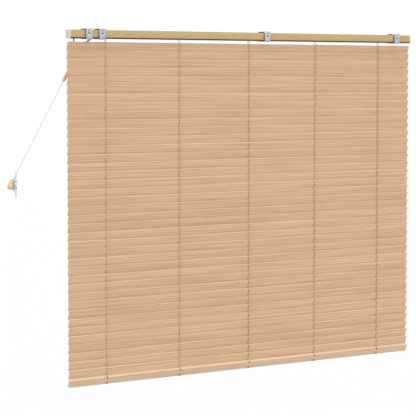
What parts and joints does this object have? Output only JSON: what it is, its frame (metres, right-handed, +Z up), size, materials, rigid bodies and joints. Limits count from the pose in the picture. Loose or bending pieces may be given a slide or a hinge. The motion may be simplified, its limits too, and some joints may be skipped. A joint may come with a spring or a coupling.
{
  "type": "wooden venetian blind",
  "caption": "Wooden venetian blind with tilting slats on corded ladders, a channel headrail in folded brackets, a pull cord with turned wood ends and a wall cleat.",
  "frame": {"origin": "on the brackets' top plates, midway between the screws of the outer brackets", "axes": "+X along the slats to the right seen from the front, -Y to the front, +Z up out of the top plates"},
  "size_m": [1.7241, 0.065, 1.3046],
  "materials": {
    "slat_wood": "satin, fine grain along the slat",
    "rail_wood": "satin, fine grain along the rail",
    "button_wood": "satin",
    "turned_wood": "satin, turned",
    "rail_paint": "satin paint",
    "cap_plastic": "smooth, slightly milky",
    "bracket_metal": "satin zinc",
    "rod_steel": "drawn",
    "stem_metal": "dark",
    "gear_plastic": "moulded",
    "tilter_plastic": "moulded",
    "ladder_cord": "braided",
    "pull_cord": "braided",
    "cleat_plastic": "moulded"
  },
  "bodies": {
    "frame": {"headrail": "rail_paint", "end_caps": "cap_plastic", "brackets": "bracket_metal", "drum_cradles": "gear_plastic", "tilter_housing": "tilter_plastic", "cord_lock": "gear_plastic", "lift_cords": "ladder_cord", "lift_cord_tails": "pull_cord", "cord_joiner": "turned_wood", "pull_cord": "pull_cord", "end_tassel": "turned_wood", "cleat": "cleat_plastic"},
    "tilt_gear": {"tilt_rod": "rod_steel", "ladder_drums": "gear_plastic", "worm_wheel": "gear_plastic"},
    "tilter_stem": {"tilter_stem": "stem_metal"},
    "lock_roller": {"cord_lock_roller": "rod_steel"},
    "bottom_rail": {"bottom_rail": "rail_wood", "bottom_rail_buttons": "button_wood"},
    "front_cords": {"ladder_front_cords": "ladder_cord"},
    "rear_cords": {"ladder_rear_cords": "ladder_cord"},
    "slat_01": {"slat_01": "slat_wood"},
    "slat_02": {"slat_02": "slat_wood"},
    "slat_03": {"slat_03": "slat_wood"},
    "slat_04": {"slat_04": "slat_wood"},
    "slat_05": {"slat_05": "slat_wood"},
    "slat_06": {"slat_06": "slat_wood"},
    "slat_07": {"slat_07": "slat_wood"},
    "slat_08": {"slat_08": "slat_wood"},
    "slat_09": {"slat_09": "slat_wood"},
    "slat_10": {"slat_10": "slat_wood"},
    "slat_11": {"slat_11": "slat_wood"},
    "slat_12": {"slat_12": "slat_wood"},
    "slat_13": {"slat_13": "slat_wood"},
    "slat_14": {"slat_14": "slat_wood"},
    "slat_15": {"slat_15": "slat_wood"},
    "slat_16": {"slat_16": "slat_wood"},
    "slat_17": {"slat_17": "slat_wood"},
    "slat_18": {"slat_18": "slat_wood"},
    "slat_19": {"slat_19": "slat_wood"},
    "slat_20": {"slat_20": "slat_wood"},
    "slat_21": {"slat_21": "slat_wood"},
    "slat_22": {"slat_22": "slat_wood"},
    "slat_23": {"slat_23": "slat_wood"},
    "slat_24": {"slat_24": "slat_wood"},
    "slat_25": {"slat_25": "slat_wood"},
    "slat_26": {"slat_26": "slat_wood"},
    "slat_27": {"slat_27": "slat_wood"},
    "slat_28": {"slat_28": "slat_wood"},
    "slat_29": {"slat_29": "slat_wood"},
    "slat_30": {"slat_30": "slat_wood"},
    "slat_31": {"slat_31": "slat_wood"},
    "slat_32": {"slat_32": "slat_wood"},
    "slat_33": {"slat_33": "slat_wood"},
    "slat_34": {"slat_34": "slat_wood"},
    "slat_35": {"slat_35": "slat_wood"},
    "slat_36": {"slat_36": "slat_wood"},
    "slat_37": {"slat_37": "slat_wood"},
    "slat_38": {"slat_38": "slat_wood"},
    "slat_39": {"slat_39": "slat_wood"}
  },
  "joints": [
    {"name": "tilt", "type": "hinge", "parent": "frame", "child": "tilt_gear", "pos_m": [0, 0, -0.0165], "axis": [1, 0, 0], "range_deg": [0, 174]},
    {"name": "slat_01_tilt", "type": "hinge", "parent": "frame", "child": "slat_01", "pos_m": [0, 0, -0.06471], "axis": [1, 0, 0], "range_deg": [0, 139.2]},
    {"name": "slat_02_tilt", "type": "hinge", "parent": "frame", "child": "slat_02", "pos_m": [0, 0, -0.09611], "axis": [1, 0, 0], "range_deg": [0, 139.2]},
    {"name": "slat_03_tilt", "type": "hinge", "parent": "frame", "child": "slat_03", "pos_m": [0, 0, -0.12751], "axis": [1, 0, 0], "range_deg": [0, 139.2]},
    {"name": "slat_04_tilt", "type": "hinge", "parent": "frame", "child": "slat_04", "pos_m": [0, 0, -0.15891], "axis": [1, 0, 0], "range_deg": [0, 139.2]},
    {"name": "slat_05_tilt", "type": "hinge", "parent": "frame", "child": "slat_05", "pos_m": [0, 0, -0.19031], "axis": [1, 0, 0], "range_deg": [0, 139.2]},
    {"name": "slat_06_tilt", "type": "hinge", "parent": "frame", "child": "slat_06", "pos_m": [0, 0, -0.22171], "axis": [1, 0, 0], "range_deg": [0, 139.2]},
    {"name": "slat_07_tilt", "type": "hinge", "parent": "frame", "child": "slat_07", "pos_m": [0, 0, -0.25311], "axis": [1, 0, 0], "range_deg": [0, 139.2]},
    {"name": "slat_08_tilt", "type": "hinge", "parent": "frame", "child": "slat_08", "pos_m": [0, 0, -0.28451], "axis": [1, 0, 0], "range_deg": [0, 139.2]},
    {"name": "slat_09_tilt", "type": "hinge", "parent": "frame", "child": "slat_09", "pos_m": [0, 0, -0.31591], "axis": [1, 0, 0], "range_deg": [0, 139.2]},
    {"name": "slat_10_tilt", "type": "hinge", "parent": "frame", "child": "slat_10", "pos_m": [0, 0, -0.34731], "axis": [1, 0, 0], "range_deg": [0, 139.2]},
    {"name": "slat_11_tilt", "type": "hinge", "parent": "frame", "child": "slat_11", "pos_m": [0, 0, -0.37871], "axis": [1, 0, 0], "range_deg": [0, 139.2]},
    {"name": "slat_12_tilt", "type": "hinge", "parent": "frame", "child": "slat_12", "pos_m": [0, 0, -0.41011], "axis": [1, 0, 0], "range_deg": [0, 139.2]},
    {"name": "slat_13_tilt", "type": "hinge", "parent": "frame", "child": "slat_13", "pos_m": [0, 0, -0.44151], "axis": [1, 0, 0], "range_deg": [0, 139.2]},
    {"name": "slat_14_tilt", "type": "hinge", "parent": "frame", "child": "slat_14", "pos_m": [0, 0, -0.47291], "axis": [1, 0, 0], "range_deg": [0, 139.2]},
    {"name": "slat_15_tilt", "type": "hinge", "parent": "frame", "child": "slat_15", "pos_m": [0, 0, -0.50431], "axis": [1, 0, 0], "range_deg": [0, 139.2]},
    {"name": "slat_16_tilt", "type": "hinge", "parent": "frame", "child": "slat_16", "pos_m": [0, 0, -0.53571], "axis": [1, 0, 0], "range_deg": [0, 139.2]},
    {"name": "slat_17_tilt", "type": "hinge", "parent": "frame", "child": "slat_17", "pos_m": [0, 0, -0.56711], "axis": [1, 0, 0], "range_deg": [0, 139.2]},
    {"name": "slat_18_tilt", "type": "hinge", "parent": "frame", "child": "slat_18", "pos_m": [0, 0, -0.59851], "axis": [1, 0, 0], "range_deg": [0, 139.2]},
    {"name": "slat_19_tilt", "type": "hinge", "parent": "frame", "child": "slat_19", "pos_m": [0, 0, -0.62991], "axis": [1, 0, 0], "range_deg": [0, 139.2]},
    {"name": "slat_20_tilt", "type": "hinge", "parent": "frame", "child": "slat_20", "pos_m": [0, 0, -0.66131], "axis": [1, 0, 0], "range_deg": [0, 139.2]},
    {"name": "slat_21_tilt", "type": "hinge", "parent": "frame", "child": "slat_21", "pos_m": [0, 0, -0.69271], "axis": [1, 0, 0], "range_deg": [0, 139.2]},
    {"name": "slat_22_tilt", "type": "hinge", "parent": "frame", "child": "slat_22", "pos_m": [0, 0, -0.72411], "axis": [1, 0, 0], "range_deg": [0, 139.2]},
    {"name": "slat_23_tilt", "type": "hinge", "parent": "frame", "child": "slat_23", "pos_m": [0, 0, -0.75551], "axis": [1, 0, 0], "range_deg": [0, 139.2]},
    {"name": "slat_24_tilt", "type": "hinge", "parent": "frame", "child": "slat_24", "pos_m": [0, 0, -0.78691], "axis": [1, 0, 0], "range_deg": [0, 139.2]},
    {"name": "slat_25_tilt", "type": "hinge", "parent": "frame", "child": "slat_25", "pos_m": [0, 0, -0.81831], "axis": [1, 0, 0], "range_deg": [0, 139.2]},
    {"name": "slat_26_tilt", "type": "hinge", "parent": "frame", "child": "slat_26", "pos_m": [0, 0, -0.84971], "axis": [1, 0, 0], "range_deg": [0, 139.2]},
    {"name": "slat_27_tilt", "type": "hinge", "parent": "frame", "child": "slat_27", "pos_m": [0, 0, -0.88111], "axis": [1, 0, 0], "range_deg": [0, 139.2]},
    {"name": "slat_28_tilt", "type": "hinge", "parent": "frame", "child": "slat_28", "pos_m": [0, 0, -0.91251], "axis": [1, 0, 0], "range_deg": [0, 139.2]},
    {"name": "slat_29_tilt", "type": "hinge", "parent": "frame", "child": "slat_29", "pos_m": [0, 0, -0.94391], "axis": [1, 0, 0], "range_deg": [0, 139.2]},
    {"name": "slat_30_tilt", "type": "hinge", "parent": "frame", "child": "slat_30", "pos_m": [0, 0, -0.97531], "axis": [1, 0, 0], "range_deg": [0, 139.2]},
    {"name": "slat_31_tilt", "type": "hinge", "parent": "frame", "child": "slat_31", "pos_m": [0, 0, -1.00671], "axis": [1, 0, 0], "range_deg": [0, 139.2]},
    {"name": "slat_32_tilt", "type": "hinge", "parent": "frame", "child": "slat_32", "pos_m": [0, 0, -1.03811], "axis": [1, 0, 0], "range_deg": [0, 139.2]},
    {"name": "slat_33_tilt", "type": "hinge", "parent": "frame", "child": "slat_33", "pos_m": [0, 0, -1.06951], "axis": [1, 0, 0], "range_deg": [0, 139.2]},
    {"name": "slat_34_tilt", "type": "hinge", "parent": "frame", "child": "slat_34", "pos_m": [0, 0, -1.10091], "axis": [1, 0, 0], "range_deg": [0, 139.2]},
    {"name": "slat_35_tilt", "type": "hinge", "parent": "frame", "child": "slat_35", "pos_m": [0, 0, -1.13231], "axis": [1, 0, 0], "range_deg": [0, 139.2]},
    {"name": "slat_36_tilt", "type": "hinge", "parent": "frame", "child": "slat_36", "pos_m": [0, 0, -1.16371], "axis": [1, 0, 0], "range_deg": [0, 139.2]},
    {"name": "slat_37_tilt", "type": "hinge", "parent": "frame", "child": "slat_37", "pos_m": [0, 0, -1.19511], "axis": [1, 0, 0], "range_deg": [0, 139.2]},
    {"name": "slat_38_tilt", "type": "hinge", "parent": "frame", "child": "slat_38", "pos_m": [0, 0, -1.22651], "axis": [1, 0, 0], "range_deg": [0, 139.2]},
    {"name": "slat_39_tilt", "type": "hinge", "parent": "frame", "child": "slat_39", "pos_m": [0, 0, -1.25791], "axis": [1, 0, 0], "range_deg": [0, 139.2]},
    {"name": "bottom_rail_tilt", "type": "hinge", "parent": "frame", "child": "bottom_rail", "pos_m": [0, 0, -1.28931], "axis": [1, 0, 0], "range_deg": [0, 139.2]},
    {"name": "front_cords_follow", "type": "hinge", "parent": "slat_20", "child": "front_cords", "pos_m": [0, -0.00499, -0.64595], "axis": [1, 0, 0], "range_deg": [-139.2, 0]},
    {"name": "rear_cords_follow", "type": "hinge", "parent": "slat_20", "child": "rear_cords", "pos_m": [0, 0.00499, -0.67667], "axis": [1, 0, 0], "range_deg": [-139.2, 0]},
    {"name": "stem_turn", "type": "hinge", "parent": "frame", "child": "tilter_stem", "pos_m": [-0.729, -0.0118, -0.04], "axis": [0, 0, 1], "range_deg": [0, 1740]},
    {"name": "roller_slide", "type": "slide", "parent": "frame", "child": "lock_roller", "axis": [1, 0, 0], "range_m": [0, 0.0025]}
  ],
  "couplings": [
    {"joint": "slat_01_tilt", "follows": "tilt", "ratio": 0.8},
    {"joint": "slat_02_tilt", "follows": "tilt", "ratio": 0.8},
    {"joint": "slat_03_tilt", "follows": "tilt", "ratio": 0.8},
    {"joint": "slat_04_tilt", "follows": "tilt", "ratio": 0.8},
    {"joint": "slat_05_tilt", "follows": "tilt", "ratio": 0.8},
    {"joint": "slat_06_tilt", "follows": "tilt", "ratio": 0.8},
    {"joint": "slat_07_tilt", "follows": "tilt", "ratio": 0.8},
    {"joint": "slat_08_tilt", "follows": "tilt", "ratio": 0.8},
    {"joint": "slat_09_tilt", "follows": "tilt", "ratio": 0.8},
    {"joint": "slat_10_tilt", "follows": "tilt", "ratio": 0.8},
    {"joint": "slat_11_tilt", "follows": "tilt", "ratio": 0.8},
    {"joint": "slat_12_tilt", "follows": "tilt", "ratio": 0.8},
    {"joint": "slat_13_tilt", "follows": "tilt", "ratio": 0.8},
    {"joint": "slat_14_tilt", "follows": "tilt", "ratio": 0.8},
    {"joint": "slat_15_tilt", "follows": "tilt", "ratio": 0.8},
    {"joint": "slat_16_tilt", "follows": "tilt", "ratio": 0.8},
    {"joint": "slat_17_tilt", "follows": "tilt", "ratio": 0.8},
    {"joint": "slat_18_tilt", "follows": "tilt", "ratio": 0.8},
    {"joint": "slat_19_tilt", "follows": "tilt", "ratio": 0.8},
    {"joint": "slat_20_tilt", "follows": "tilt", "ratio": 0.8},
    {"joint": "slat_21_tilt", "follows": "tilt", "ratio": 0.8},
    {"joint": "slat_22_tilt", "follows": "tilt", "ratio": 0.8},
    {"joint": "slat_23_tilt", "follows": "tilt", "ratio": 0.8},
    {"joint": "slat_24_tilt", "follows": "tilt", "ratio": 0.8},
    {"joint": "slat_25_tilt", "follows": "tilt", "ratio": 0.8},
    {"joint": "slat_26_tilt", "follows": "tilt", "ratio": 0.8},
    {"joint": "slat_27_tilt", "follows": "tilt", "ratio": 0.8},
    {"joint": "slat_28_tilt", "follows": "tilt", "ratio": 0.8},
    {"joint": "slat_29_tilt", "follows": "tilt", "ratio": 0.8},
    {"joint": "slat_30_tilt", "follows": "tilt", "ratio": 0.8},
    {"joint": "slat_31_tilt", "follows": "tilt", "ratio": 0.8},
    {"joint": "slat_32_tilt", "follows": "tilt", "ratio": 0.8},
    {"joint": "slat_33_tilt", "follows": "tilt", "ratio": 0.8},
    {"joint": "slat_34_tilt", "follows": "tilt", "ratio": 0.8},
    {"joint": "slat_35_tilt", "follows": "tilt", "ratio": 0.8},
    {"joint": "slat_36_tilt", "follows": "tilt", "ratio": 0.8},
    {"joint": "slat_37_tilt", "follows": "tilt", "ratio": 0.8},
    {"joint": "slat_38_tilt", "follows": "tilt", "ratio": 0.8},
    {"joint": "slat_39_tilt", "follows": "tilt", "ratio": 0.8},
    {"joint": "bottom_rail_tilt", "follows": "tilt", "ratio": 0.8},
    {"joint": "front_cords_follow", "follows": "tilt", "ratio": -0.8},
    {"joint": "rear_cords_follow", "follows": "tilt", "ratio": -0.8},
    {"joint": "stem_turn", "follows": "tilt", "ratio": 10}
  ]
}
